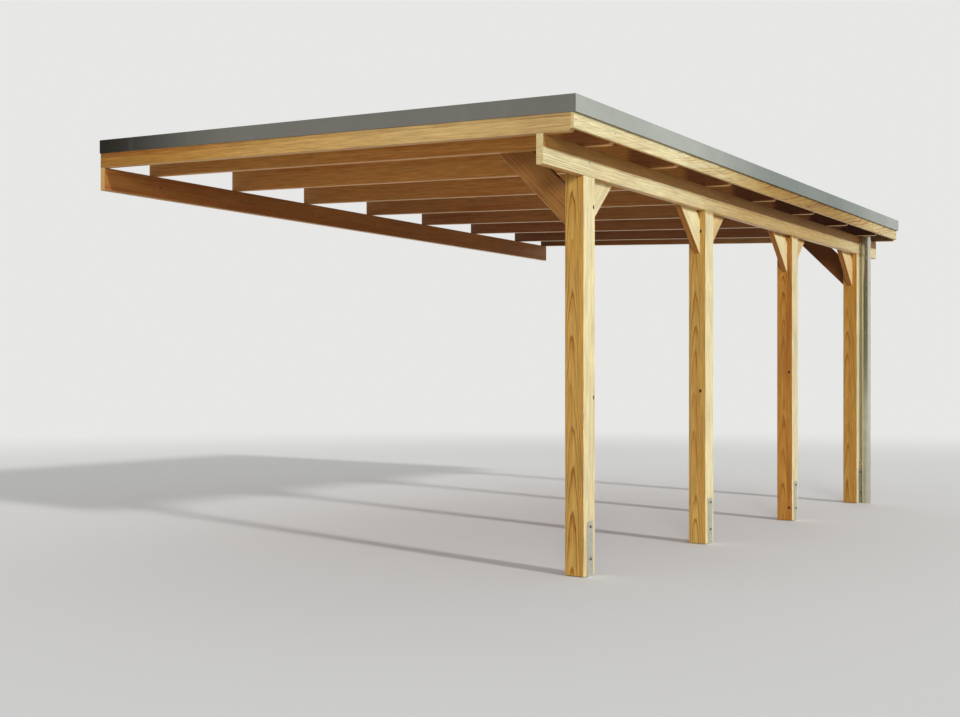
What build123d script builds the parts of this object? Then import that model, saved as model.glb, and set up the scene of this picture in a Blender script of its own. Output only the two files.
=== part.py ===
from build123d import *
from math import radians, sqrt, tan
import os

# Lean-to carport. X runs out from the house wall, Y along the roof, Z up, all in millimetres.
# The origin is the middle of the wall ledger's back face, and the wall itself is the plane X = 0.

# Timber sections
board_thickness = 42
board_height = 155
post_width = 120
fascia_thickness = 18
deck_thickness = 18
arris = 3

# Layout in plan
post_line = 3543
eaves_overhang = 162
rafter_pitch = 787
rafters_per_bay = 2
post_count = 4
front_overhang = 415
rear_overhang = 552

# Heights and falls
purlin_clearance = 2163
roof_fall_degrees = 3.1
brace_drop = 275
brace_top_gap = 10
fascia_lift = 14

# Deck boards
deck_board_cover = 135
deck_groove_width = 6
deck_groove_depth = 4

# Roof covering and metal edge
membrane_thickness = 2
kerb_height = 9
kerb_width = 30
trim_sheet = 2
trim_height = 90
trim_flange = 60
trim_side_gap = 14
trim_end_gap = 6
flashing_leg = 80

# Post anchors
anchor_sheet = 5
anchor_width = 60
anchor_height = 300
anchor_lower_bolt = 95
anchor_bolt_edge = 30
anchor_bolt_diameter = 8
anchor_bolt_clearance = 1
bolt_head_width = 13
bolt_head_height = 5.3
washer_diameter = 16
washer_thickness = 1.6

# Wall bolts through the ledger, one behind each rafter
wall_bolt_hole = 13
wall_bolt_setback = 20

# Rainwater pipe
pipe_diameter = 80
pipe_wall = 1.5
pipe_strap_clearance = 5
pipe_side_clearance = 4
pipe_top_gap = 6
pipe_spigot_length = 60
pipe_spigot_reduction = 1
pipe_spigot_taper = 5
spigot_clearance = 1.5
spigot_wall = 2
spigot_depth = 60
outlet_flange_width = 25
clip_band = 2
clip_height = 25
clip_clearance = 0.3
clip_stem_diameter = 10
clip_plate_diameter = 36
clip_plate_thickness = 3
lower_clip_gap = 30
upper_clip_drop = 55

# Worked out from the sizes above
fall = tan(radians(roof_fall_degrees))
rafter_count = (post_count - 1) * rafters_per_bay + 1
roof_length = front_overhang + (rafter_count - 1) * rafter_pitch + rear_overhang
front_end = -roof_length / 2
rear_end = roof_length / 2
first_rafter = front_end + front_overhang
fascia_inner = post_line + eaves_overhang
fascia_outer = fascia_inner + fascia_thickness
purlin_inner = post_line - board_thickness
post_inner = post_line - post_width
half_board = board_height / 2
trim_outer = fascia_outer + trim_side_gap + trim_sheet
trim_front = front_end - trim_end_gap - trim_sheet
trim_rear = rear_end + trim_end_gap + trim_sheet


def rafter_underside(x):
    """Height of the rafters' sloping underside at a distance x from the wall."""
    return half_board - x * fall


def rafter_top(x):
    return rafter_underside(x) + board_height


def deck_top(x):
    return rafter_top(x) + deck_thickness


def membrane_top(x):
    return deck_top(x) + membrane_thickness


def trim_top(x):
    return membrane_top(x) + kerb_height + trim_sheet


purlin_bottom = rafter_underside(post_line) - board_height
ground = purlin_bottom - purlin_clearance
brace_low = purlin_bottom - brace_drop
brace_high = brace_low + board_height * sqrt(2)
post_fronts = [first_rafter + i * rafters_per_bay * rafter_pitch for i in range(post_count)]
rafter_fronts = [first_rafter + i * rafter_pitch for i in range(rafter_count)]

anchor_bolt_heights = (anchor_lower_bolt, anchor_height - anchor_bolt_edge)
pipe_gap = anchor_sheet + pipe_strap_clearance
pipe_x = post_line + pipe_gap + pipe_diameter / 2
pipe_y = rafter_fronts[-1] + board_thickness + pipe_side_clearance + pipe_diameter / 2

os.makedirs("parts", exist_ok=True)


def save(piece, name):
    """Label a finished piece and write it under its own name."""
    piece.part.label = name
    export_step(piece.part, f"parts/{name}.step")


def slanting_edges(piece):
    """The edges of a timber that lie along none of the axes."""
    return piece.edges().filter_by(lambda e: max(abs(c) for c in e.tangent_at(0.5)) < 0.9)


# Wall ledger, with its top edge planed to the roof's fall and a row of wall bolt holes
with BuildPart() as ledger:
    with BuildSketch(Plane.XZ.offset(-front_end)) as ledger_section:
        with BuildLine():
            Polyline(
                (0, -half_board),
                (board_thickness, -half_board),
                (board_thickness, rafter_underside(board_thickness)),
                (0, rafter_underside(0)),
                close=True,
            )
        make_face()
    extrude(amount=-roof_length)
    chamfer(ledger.edges().filter_by(Axis.Y).group_by(Axis.X)[-1], arris)
    with BuildSketch(Plane.YZ) as wall_bolt_holes:
        with Locations(*[(y + board_thickness + wall_bolt_setback, 0) for y in rafter_fronts]):
            Circle(wall_bolt_hole / 2)
    extrude(amount=board_thickness, mode=Mode.SUBTRACT)
save(ledger, "wall_ledger")

# Outer purlin, flush with the outer faces of the posts
with BuildPart() as purlin:
    with BuildSketch(Plane.XZ.offset(-front_end)) as purlin_section:
        with BuildLine():
            Polyline(
                (purlin_inner, purlin_bottom),
                (post_line, purlin_bottom),
                (post_line, rafter_underside(post_line)),
                (purlin_inner, rafter_underside(purlin_inner)),
                close=True,
            )
        make_face()
    extrude(amount=-roof_length)
    chamfer(purlin.edges().filter_by(Axis.Y), arris)
save(purlin, "outer_purlin")

# Posts, each rebated at the head so that the purlin sits on a shoulder
post_foot = ground + anchor_sheet
for number, y in enumerate(post_fronts, start=1):
    with BuildPart() as post:
        with BuildSketch(Plane.XZ.offset(-y)) as post_profile:
            with BuildLine():
                Polyline(
                    (post_inner, post_foot),
                    (post_line, post_foot),
                    (post_line, purlin_bottom),
                    (purlin_inner, purlin_bottom),
                    (purlin_inner, rafter_underside(purlin_inner)),
                    (post_inner, rafter_underside(post_inner)),
                    close=True,
                )
            make_face()
        extrude(amount=-post_width)
        uprights = post.edges().filter_by(Axis.Z).group_by(Axis.X)
        chamfer(uprights[0] + uprights[-1], arris)
        with BuildSketch(Plane.YZ.offset(post_inner)) as bolt_holes:
            with Locations(*[(y + post_width / 2, ground + height) for height in anchor_bolt_heights]):
                Circle((anchor_bolt_diameter + anchor_bolt_clearance) / 2)
        extrude(amount=post_width, mode=Mode.SUBTRACT)
    save(post, f"post_{number}")

# Post anchors: a steel strap up each side of the foot, a seat plate below it and two bolts through
strap_centre_x = post_line - post_width / 2
strap_reach = post_width + 2 * anchor_sheet
for number, y in enumerate(post_fronts, start=1):
    middle = y + post_width / 2
    with BuildPart() as anchor:
        with BuildSketch(Plane.XZ.offset(-(middle - anchor_width / 2))) as anchor_profile:
            with Locations((strap_centre_x, ground + anchor_height / 2)):
                Rectangle(strap_reach, anchor_height)
            with Locations((strap_centre_x, ground + anchor_sheet + anchor_height / 2)):
                Rectangle(post_width, anchor_height, mode=Mode.SUBTRACT)
        extrude(amount=-anchor_width)
        top_corners = anchor.edges().filter_by(Axis.X).group_by(Axis.Z)[-1]
        chamfer(top_corners, 2 * anchor_sheet)
        outer_face = strap_centre_x + strap_reach / 2
        inner_face = strap_centre_x - strap_reach / 2
        for height in anchor_bolt_heights:
            for face, turn in ((outer_face, 1), (inner_face, -1)):
                washer_plane = Plane(
                    origin=(face, middle, ground + height), x_dir=(0, 1, 0), z_dir=(turn, 0, 0)
                )
                with BuildSketch(washer_plane):
                    Circle(washer_diameter / 2)
                extrude(amount=washer_thickness)
                with BuildSketch(washer_plane.offset(washer_thickness)):
                    RegularPolygon(bolt_head_width / 2, 6, major_radius=False)
                extrude(amount=bolt_head_height)
            bolt_plane = Plane(
                origin=(inner_face, middle, ground + height), x_dir=(0, 1, 0), z_dir=(1, 0, 0)
            )
            with BuildSketch(bolt_plane):
                Circle(anchor_bolt_diameter / 2)
            extrude(amount=strap_reach)
    save(anchor, f"post_anchor_{number}")


def knee_brace(face, turn, name):
    """A 45 degree board from a post's front (turn -1) or rear face (turn 1), lapped behind the purlin."""
    top = rafter_underside(post_line) - brace_top_gap
    with BuildPart() as brace:
        with BuildSketch(Plane.YZ.offset(purlin_inner - board_thickness)) as brace_profile:
            with BuildLine():
                Polyline(
                    (face, brace_low),
                    (face, brace_high),
                    (face + turn * (top - brace_high), top),
                    (face + turn * (top - brace_low), top),
                    close=True,
                )
            make_face()
        extrude(amount=board_thickness)
        chamfer(slanting_edges(brace), arris)
    save(brace, name)


for number, y in enumerate(post_fronts, start=1):
    if number > 1:
        knee_brace(y, -1, f"knee_brace_{number}_front")
    if number < post_count:
        knee_brace(y + post_width, 1, f"knee_brace_{number}_rear")


def cross_brace(y, name):
    """A 45 degree board from the inner face of an end post, lapped behind the rafter above it."""
    low_run = (rafter_top(post_inner) - brace_top_gap - brace_low) / (1 - fall)
    high_run = (rafter_top(post_inner) - brace_top_gap - brace_high) / (1 - fall)
    with BuildPart() as brace:
        with BuildSketch(Plane.XZ.offset(-(y + board_thickness))) as brace_profile:
            with BuildLine():
                Polyline(
                    (post_inner, brace_low),
                    (post_inner, brace_high),
                    (post_inner - high_run, brace_high + high_run),
                    (post_inner - low_run, brace_low + low_run),
                    close=True,
                )
            make_face()
        extrude(amount=-board_thickness)
        chamfer(slanting_edges(brace), arris)
    save(brace, name)


cross_brace(post_fronts[0], "cross_brace_1")
cross_brace(post_fronts[-1], f"cross_brace_{post_count}")


def rafter(y, name):
    """A rafter from the wall to the fascia, its lower outer corner cut back to the fascia's edge."""
    with BuildPart() as timber:
        with BuildSketch(Plane.XZ.offset(-y)) as rafter_profile:
            with BuildLine():
                Polyline(
                    (0, rafter_underside(0)),
                    (fascia_inner - fascia_lift, rafter_underside(fascia_inner - fascia_lift)),
                    (fascia_inner, rafter_underside(fascia_inner) + fascia_lift),
                    (fascia_inner, rafter_top(fascia_inner)),
                    (0, rafter_top(0)),
                    close=True,
                )
            make_face()
        extrude(amount=-board_thickness)
        underside = timber.faces().sort_by(Axis.Z).filter_by(lambda f: f.normal_at().Z < -0.99)[0]
        chamfer(underside.edges().group_by(Edge.length)[-1], arris)
    save(timber, name)


for number, y in enumerate(rafter_fronts, start=1):
    rafter(y, f"rafter_{number}")
rafter(front_end, "front_verge_rafter")
rafter(rear_end - board_thickness, "rear_verge_rafter")

# Fascia board across the rafter ends
fascia_bottom = rafter_underside(fascia_inner) + fascia_lift
with BuildPart() as fascia:
    with BuildSketch(Plane.XZ.offset(-front_end)) as fascia_section:
        with BuildLine():
            Polyline(
                (fascia_inner, fascia_bottom),
                (fascia_outer, fascia_bottom),
                (fascia_outer, deck_top(fascia_outer)),
                (fascia_inner, deck_top(fascia_inner)),
                close=True,
            )
        make_face()
    extrude(amount=-roof_length)
    chamfer(fascia.edges().filter_by(Axis.Y).sort_by(Axis.Z)[:2], arris)
save(fascia, "outer_fascia")

# Roof deck of tongued boards along the roof, drawn with the V joints of its underside
deck_grooves = int(fascia_inner // deck_board_cover)
with BuildPart() as deck:
    with BuildSketch(Plane.XZ.offset(-front_end)) as deck_section:
        with BuildLine():
            outline = [(0, rafter_top(0))]
            for i in range(1, deck_grooves + 1):
                x = i * deck_board_cover
                half = deck_groove_width / 2
                outline.append((x - half, rafter_top(x - half)))
                outline.append((x, rafter_top(x) + deck_groove_depth))
                outline.append((x + half, rafter_top(x + half)))
            outline.append((fascia_inner, rafter_top(fascia_inner)))
            outline.append((fascia_inner, deck_top(fascia_inner)))
            outline.append((0, deck_top(0)))
            Polyline(*outline, close=True)
        make_face()
    extrude(amount=-roof_length)
    spigot_radius = pipe_diameter / 2 - pipe_wall - spigot_clearance
    with Locations((pipe_x, pipe_y, deck_top(pipe_x))):
        Cylinder(spigot_radius + spigot_clearance, 8 * deck_thickness, mode=Mode.SUBTRACT)
save(deck, "roof_deck")

# Roof membrane over the deck and the top of the fascia
with BuildPart() as membrane:
    with BuildSketch(Plane.XZ.offset(-front_end)) as membrane_section:
        with BuildLine():
            Polyline(
                (0, deck_top(0)),
                (fascia_outer, deck_top(fascia_outer)),
                (fascia_outer, membrane_top(fascia_outer)),
                (0, membrane_top(0)),
                close=True,
            )
        make_face()
    extrude(amount=-roof_length)
    with Locations((pipe_x, pipe_y, deck_top(pipe_x))):
        Cylinder(spigot_radius + spigot_clearance, 8 * deck_thickness, mode=Mode.SUBTRACT)
save(membrane, "roof_membrane")

# Timber kerbs on the membrane along three edges, mitred at both corners
kerb_inner = fascia_outer - kerb_width
front_kerb_mitre = Plane(origin=(fascia_outer, front_end, 0), x_dir=(0, 0, 1), z_dir=(1, 1, 0))
rear_kerb_mitre = Plane(origin=(fascia_outer, rear_end, 0), x_dir=(0, 0, 1), z_dir=(1, -1, 0))


def edge_kerb(name, near, start, length, cuts):
    """A low timber kerb from X near to the fascia's face and from Y start on, cut to its mitres."""
    with BuildPart() as kerb:
        with BuildSketch(Plane.XZ.offset(-start)) as kerb_section:
            with BuildLine():
                Polyline(
                    (near, membrane_top(near)),
                    (fascia_outer, membrane_top(fascia_outer)),
                    (fascia_outer, membrane_top(fascia_outer) + kerb_height),
                    (near, membrane_top(near) + kerb_height),
                    close=True,
                )
            make_face()
        extrude(amount=-length)
        for mitre, side in cuts:
            split(bisect_by=mitre, keep=side)
    save(kerb, name)


outer_cuts = ((front_kerb_mitre, Keep.TOP), (rear_kerb_mitre, Keep.TOP))
edge_kerb("outer_edge_kerb", kerb_inner, front_end, roof_length, outer_cuts)
edge_kerb("front_edge_kerb", 0, front_end, kerb_width, ((front_kerb_mitre, Keep.BOTTOM),))
edge_kerb("rear_edge_kerb", 0, rear_end - kerb_width, kerb_width, ((rear_kerb_mitre, Keep.BOTTOM),))


def trim_section(inner, outer, board_face, height_at):
    """Outline of the folded metal edge: top flange, upright leg and the lip back to the board."""
    turn = 1 if outer > inner else -1
    leg = outer - turn * trim_sheet
    foot = height_at(outer) - trim_height
    Polyline(
        (inner, height_at(inner)),
        (outer, height_at(outer)),
        (outer, foot),
        (board_face, foot),
        (board_face, foot + trim_sheet),
        (leg, foot + trim_sheet),
        (leg, height_at(leg) - trim_sheet),
        (inner, height_at(inner) - trim_sheet),
        close=True,
    )


# Outer edge trim, mitred at both corners
front_mitre = Plane(origin=(trim_outer, trim_front, 0), x_dir=(0, 0, 1), z_dir=(1, 1, 0))
rear_mitre = Plane(origin=(trim_outer, trim_rear, 0), x_dir=(0, 0, 1), z_dir=(1, -1, 0))
with BuildPart() as outer_trim:
    with BuildSketch(Plane.XZ.offset(-trim_front)) as outer_trim_section:
        with BuildLine():
            trim_section(trim_outer - trim_flange, trim_outer, fascia_outer, trim_top)
        make_face()
    extrude(amount=trim_front - trim_rear)
    split(bisect_by=front_mitre, keep=Keep.TOP)
    split(bisect_by=rear_mitre, keep=Keep.TOP)
save(outer_trim, "outer_edge_trim")


def end_trim(name, outer, board_face, mitre):
    """The metal edge of one end of the roof, which climbs with the roof to the wall."""
    inner = outer + trim_flange if outer < 0 else outer - trim_flange
    with BuildPart() as trim:
        sections = []
        for x in (0, trim_outer):
            with BuildSketch(Plane.YZ.offset(x)) as end_section:
                with BuildLine():
                    trim_section(inner, outer, board_face, lambda y: trim_top(x))
                make_face()
            sections.append(end_section.sketch)
        loft(sections=sections, ruled=True)
        split(bisect_by=mitre, keep=Keep.BOTTOM)
    save(trim, name)


end_trim("front_edge_trim", trim_front, front_end, front_mitre)
end_trim("rear_edge_trim", trim_rear, rear_end, rear_mitre)

# Flashing strip on the membrane along the wall, level with the top of the metal edge
with BuildPart() as flashing:
    with BuildSketch(Plane.XZ.offset(-(front_end + kerb_width))) as flashing_section:
        with BuildLine():
            Polyline(
                (0, membrane_top(0)),
                (flashing_leg, membrane_top(flashing_leg)),
                (flashing_leg, membrane_top(flashing_leg) + trim_sheet),
                (trim_sheet, membrane_top(trim_sheet) + trim_sheet),
                (trim_sheet, membrane_top(trim_sheet) + kerb_height),
                (0, membrane_top(0) + kerb_height),
                close=True,
            )
        make_face()
    extrude(amount=-(roof_length - 2 * kerb_width))
save(flashing, "wall_flashing")

# Roof outlet: a flange on the membrane and a spigot down into the pipe
pipe_top = rafter_top(pipe_x + pipe_diameter / 2) - pipe_top_gap
with BuildPart() as outlet:
    with BuildSketch(Plane.XY.offset(pipe_top - spigot_depth)) as spigot_ring:
        with Locations((pipe_x, pipe_y)):
            Circle(spigot_radius)
            Circle(spigot_radius - spigot_wall, mode=Mode.SUBTRACT)
    extrude(amount=membrane_top(pipe_x) + trim_sheet / 2 - pipe_top + spigot_depth)
    flange_plane = Plane(
        origin=(pipe_x, pipe_y, membrane_top(pipe_x)), x_dir=(1, 0, -fall), z_dir=(fall, 0, 1)
    )
    with BuildSketch(flange_plane) as outlet_flange:
        Circle(spigot_radius + outlet_flange_width)
        Circle(spigot_radius - spigot_wall / 2, mode=Mode.SUBTRACT)
    extrude(amount=trim_sheet)
save(outlet, "roof_outlet")

# Round downpipe from the outlet to the ground, with its foot drawn in to push into a drain socket
pipe_outer = pipe_x + pipe_diameter / 2
pipe_shoulder = ground + pipe_spigot_length
with BuildPart() as downpipe:
    with BuildSketch(Plane.XZ.offset(-pipe_y)) as pipe_section:
        with BuildLine():
            Polyline(
                (pipe_outer - pipe_spigot_reduction, ground),
                (pipe_outer - pipe_spigot_reduction, pipe_shoulder),
                (pipe_outer, pipe_shoulder + pipe_spigot_taper),
                (pipe_outer, pipe_top),
                (pipe_outer - pipe_wall, pipe_top),
                (pipe_outer - pipe_wall, pipe_shoulder + pipe_spigot_taper),
                (pipe_outer - pipe_wall - pipe_spigot_reduction, pipe_shoulder),
                (pipe_outer - pipe_wall - pipe_spigot_reduction, ground),
                close=True,
            )
        make_face()
    revolve(axis=Axis((pipe_x, pipe_y, 0), (0, 0, 1)))
save(downpipe, "downpipe")


def pipe_clip(height, name):
    """A band round the pipe on a short stem from a round plate screwed to the timber."""
    band_inner = pipe_diameter / 2 + clip_clearance
    with BuildPart() as clip:
        with BuildSketch(Plane.XY.offset(height - clip_height / 2)) as clip_ring:
            with Locations((pipe_x, pipe_y)):
                Circle(band_inner + clip_band)
                Circle(band_inner, mode=Mode.SUBTRACT)
        extrude(amount=clip_height)
        plate = Plane(origin=(post_line, pipe_y, height), x_dir=(0, 1, 0), z_dir=(1, 0, 0))
        with BuildSketch(plate) as clip_plate:
            Circle(clip_plate_diameter / 2)
        extrude(amount=clip_plate_thickness)
        with BuildSketch(plate) as clip_stem:
            Circle(clip_stem_diameter / 2)
        extrude(amount=pipe_gap - clip_clearance - clip_band / 2)
    save(clip, name)


pipe_clip(ground + anchor_height + lower_clip_gap + clip_plate_diameter / 2, "pipe_clip_lower")
pipe_clip(rafter_underside(post_line) - upper_clip_drop, "pipe_clip_upper")
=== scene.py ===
"""Visual model of a lean-to timber carport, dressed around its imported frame."""

import logging
import math
import random
from dataclasses import dataclass, field, replace
from enum import Enum
from typing import Iterable, Union

import bmesh
import bpy
from mathutils import Matrix, Vector


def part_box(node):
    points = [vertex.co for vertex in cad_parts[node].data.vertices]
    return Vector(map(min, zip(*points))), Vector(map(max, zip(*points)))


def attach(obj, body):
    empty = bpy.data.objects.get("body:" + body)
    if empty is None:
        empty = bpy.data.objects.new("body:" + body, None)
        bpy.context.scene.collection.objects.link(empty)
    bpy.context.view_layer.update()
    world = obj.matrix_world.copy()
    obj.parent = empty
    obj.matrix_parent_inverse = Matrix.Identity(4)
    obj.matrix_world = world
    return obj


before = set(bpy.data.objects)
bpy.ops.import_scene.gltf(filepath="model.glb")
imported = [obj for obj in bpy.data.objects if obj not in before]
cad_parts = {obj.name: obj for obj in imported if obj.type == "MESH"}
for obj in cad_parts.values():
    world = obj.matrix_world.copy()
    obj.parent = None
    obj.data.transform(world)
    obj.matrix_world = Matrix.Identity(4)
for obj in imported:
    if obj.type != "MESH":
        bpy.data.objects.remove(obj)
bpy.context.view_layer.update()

log = logging.getLogger("carport")

Triple = tuple[float, float, float]
Colour = Triple
Span = tuple[float, float]
WHITE = (1.0, 1.0, 1.0)
OUT = Vector((1, 0, 0))
ROOF_FALL = math.radians(3.1)
POSTS = ("post_1", "post_2", "post_3", "post_4")
VERGE_RAFTERS = ["front_verge_rafter", "rear_verge_rafter"]
MILLIMETRE = 0.001


def mm(length: float) -> float:
    """A length in millimetres as metres."""
    return length * MILLIMETRE


def rgba(colour: Colour) -> tuple[float, float, float, float]:
    """A colour with full alpha, as node sockets want it."""
    return (*colour, 1.0)


class Value:
    """A number that varies over a surface; arithmetic on it adds Math nodes."""

    def __init__(self, tree: "ShaderTree", socket: bpy.types.NodeSocket) -> None:
        """Keep the socket and the tree that it belongs to."""
        self.tree = tree
        self.socket = socket

    def maths(self, operation: str, *operands: "Number") -> "Value":
        """Add one Math node.

        Args:
            operation: The node's operation.
            operands: What goes into its sockets, in order.

        Returns:
            The node's result.
        """
        sockets = dict(enumerate(operands))
        node = self.tree.node("ShaderNodeMath", {"operation": operation}, sockets)
        return Value(self.tree, node.outputs[0])

    def __add__(self, other: "Number") -> "Value":
        """Sum."""
        return self.maths("ADD", self, other)

    def __sub__(self, other: "Number") -> "Value":
        """Difference."""
        return self.maths("SUBTRACT", self, other)

    def __rsub__(self, other: "Number") -> "Value":
        """Difference with the number first."""
        return self.maths("SUBTRACT", other, self)

    def __mul__(self, other: "Number") -> "Value":
        """Product."""
        return self.maths("MULTIPLY", self, other)

    def __truediv__(self, other: "Number") -> "Value":
        """Quotient."""
        return self.maths("DIVIDE", self, other)

    def __pow__(self, power: "Number") -> "Value":
        """Power."""
        return self.maths("POWER", self, power)

    __radd__ = __add__
    __rmul__ = __mul__

    def fraction(self) -> "Value":
        """What is left above the whole number."""
        return self.maths("FRACT", self)

    def floor(self) -> "Value":
        """The whole number below."""
        return self.maths("FLOOR", self)

    def size(self) -> "Value":
        """The value without its sign."""
        return self.maths("ABSOLUTE", self)

    def most(self, other: "Number") -> "Value":
        """The higher of the two."""
        return self.maths("MAXIMUM", self, other)

    def turn(self, beside: "Value") -> "Value":
        """The angle of the line that rises so far over so far beside."""
        return self.maths("ARCTAN2", self, beside)

    def distance(self, other: "Value") -> "Value":
        """The length of the line that goes so far one way and so far across."""
        return (self ** 2.0 + other ** 2.0) ** 0.5

    def step(self, low: float, high: float) -> "Value":
        """A smooth step from 0 at low to 1 at high; low may be the larger."""
        node = self.tree.node("ShaderNodeMapRange", {"interpolation_type": "SMOOTHSTEP"},
                              {"Value": self, "From Min": low, "From Max": high})
        return Value(self.tree, node.outputs[0])


Number = Union[Value, float]


class ShaderTree:
    """The nodes of one material or world, and the few ways in which they are made."""

    grey_stops: Span = (0.3, 0.7)

    def __init__(self, owner: bpy.types.ID) -> None:
        """Start with an empty tree.

        Args:
            owner: The material or world that the nodes belong to.
        """
        owner.use_nodes = True
        self.owner = owner
        self.nodes = owner.node_tree.nodes
        self.links = owner.node_tree.links
        self.nodes.clear()

    def node(self, kind: str, settings: dict | None = None,
             sockets: dict | None = None) -> bpy.types.Node:
        """Add any node.

        Args:
            kind: The node's type.
            settings: Its own settings; "stops" are a ramp's places and colours.
            sockets: Values or links for its input sockets, by name or number.

        Returns:
            The new node.
        """
        node = self.nodes.new(kind)
        for key, setting in (settings or {}).items():
            if key == "stops":
                self.set_stops(node.color_ramp, setting)
            else:
                setattr(node, key, setting)
        for key, value in (sockets or {}).items():
            self.feed(node.inputs[key], value)
        return node

    def feed(self, socket: bpy.types.NodeSocket, value: object) -> None:
        """Link something into a socket, or set a constant on it.

        Args:
            socket: The socket.
            value: A value or another socket to link, or a number, vector or colour.
        """
        if isinstance(value, Value):
            value = value.socket
        if isinstance(value, bpy.types.NodeSocket):
            self.links.new(value, socket)
        elif socket.type == "RGBA":
            socket.default_value = rgba(value)
        else:
            socket.default_value = value

    @staticmethod
    def set_stops(ramp: bpy.types.ColorRamp, stops: list[tuple[float, Colour]]) -> None:
        """Give a colour ramp its stops.

        Args:
            ramp: The ramp.
            stops: The place and colour of each stop, first to last.
        """
        while len(ramp.elements) < len(stops):
            ramp.elements.new(1.0)
        for element, (place, colour) in zip(ramp.elements, stops):
            element.position = place
            element.color = rgba(colour)

    def place(self) -> bpy.types.NodeSocket:
        """The point on the object, in its own coordinates."""
        return self.node("ShaderNodeTexCoord").outputs["Object"]

    def normal(self) -> bpy.types.NodeSocket:
        """The direction that the surface looks in."""
        return self.node("ShaderNodeTexCoord").outputs["Normal"]

    def mapped(self, point: object, scale: Iterable[float] = (1, 1, 1),
               shift: Iterable[float] = (0, 0, 0),
               turn: Iterable[float] = (0, 0, 0)) -> bpy.types.NodeSocket:
        """A point scaled, then turned, then moved."""
        sockets = {"Vector": point, "Scale": scale, "Location": shift, "Rotation": turn}
        return self.node("ShaderNodeMapping", {}, sockets).outputs[0]

    def parts(self, point: object) -> list[Value]:
        """The three coordinates of a point."""
        return [Value(self, s) for s in self.node("ShaderNodeSeparateXYZ", {}, {0: point}).outputs]

    def point(self, x: Number, y: Number, z: Number) -> bpy.types.NodeSocket:
        """A point from three coordinates."""
        return self.node("ShaderNodeCombineXYZ", {}, {0: x, 1: y, 2: z}).outputs[0]

    def squareness(self, direction: Vector) -> Value:
        """How squarely the surface looks along a line.

        Args:
            direction: The line's direction.

        Returns:
            1 where the surface looks along it, either way, and 0 where it lies along it.
        """
        node = self.node("ShaderNodeVectorMath", {"operation": "DOT_PRODUCT"},
                         {0: self.normal(), 1: direction})
        return Value(self, node.outputs["Value"]).size()

    def blend(self, share: Number, first: object, second: object,
              way: str = "MIX") -> bpy.types.NodeSocket:
        """Mix two colours by a share from 0 to 1."""
        settings = {"data_type": "RGBA", "blend_type": way, "clamp_factor": True}
        return self.node("ShaderNodeMix", settings, {0: share, 6: first, 7: second}).outputs[2]

    def dimmed(self, colour: object, by: object, share: Number = 1.0) -> bpy.types.NodeSocket:
        """Multiply a colour by another, by a share from 0 to 1."""
        return self.blend(share, colour, by, "MULTIPLY")

    def ramp(self, value: Value, stops: list[tuple[float, Colour]]) -> bpy.types.NodeSocket:
        """A value as a colour."""
        return self.node("ShaderNodeValToRGB", {"stops": stops}, {0: value}).outputs[0]

    def grey(self, value: Value, levels: Span, stops: Span = grey_stops) -> bpy.types.NodeSocket:
        """A value as a grey between two levels, which it has at two stops."""
        return self.ramp(value, [(stop, (level,) * 3) for stop, level in zip(stops, levels)])

    def relief(self, height: Value, depth: float, strength: float) -> bpy.types.NodeSocket:
        """A bumped normal, where height 1 stands depth above height 0."""
        sockets = {"Height": height, "Distance": depth, "Strength": strength}
        return self.node("ShaderNodeBump", {}, sockets).outputs[0]

    def light_seen(self) -> Value:
        """Whether something looks at the surface, and doesn't only take light from it.

        Returns:
            1 for a camera, a reflection or a view through glass, and 0 elsewhere.
        """
        path = self.node("ShaderNodeLightPath")
        camera, glossy, glass = (Value(self, path.outputs[f"Is {kind} Ray"])
                                 for kind in ("Camera", "Glossy", "Transmission"))
        return camera.most(glossy).most(glass)

    def principled(self, **inputs: object) -> bpy.types.Material:
        """Finish a material with a Principled shader.

        Args:
            **inputs: Constants or links for its inputs, with _ for a space in their names.

        Returns:
            The material.
        """
        named = {name.replace("_", " "): value for name, value in inputs.items()}
        shader = self.node("ShaderNodeBsdfPrincipled", {}, named)
        self.node("ShaderNodeOutputMaterial", {}, {"Surface": shader.outputs[0]})
        return self.owner


def new_material(name: str) -> ShaderTree:
    """An empty tree for a new material."""
    return ShaderTree(bpy.data.materials.new(name))


@dataclass(frozen=True)
class Noise:
    """A cloudy pattern round 0.5.

    Attributes:
        scale: How often it changes in a metre, along all coordinates or along each.
        detail: How many finer patterns it holds.
        rough: How strongly those show.
    """

    scale: Union[float, Triple]
    detail: float = 3.0
    rough: float = 0.55

    def at(self, tree: ShaderTree, point: object) -> Value:
        """The pattern at a point.

        Args:
            tree: The tree of nodes.
            point: The point.

        Returns:
            The pattern's value there.
        """
        scale = self.scale
        if isinstance(scale, tuple):
            point, scale = tree.mapped(point, scale=scale), 1.0
        sockets = {"Vector": point, "Scale": scale, "Detail": self.detail, "Roughness": self.rough}
        return Value(tree, tree.node("ShaderNodeTexNoise", {}, sockets).outputs[0])


@dataclass(frozen=True)
class Flecks:
    """Darker flecks in a colour.

    Attributes:
        pattern: Where they lie.
        dark: What the colour is multiplied by in the darkest.
        share: How far they show.
    """

    pattern: Noise
    dark: float
    share: float

    def over(self, tree: ShaderTree, colour: object, point: object,
             paler: float = 0.0) -> bpy.types.NodeSocket:
        """Darken a colour by the flecks at a point, or by paler ones."""
        grey = tree.grey(self.pattern.at(tree, point) + paler, (self.dark, 1.0))
        return tree.dimmed(colour, grey, self.share)


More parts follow.
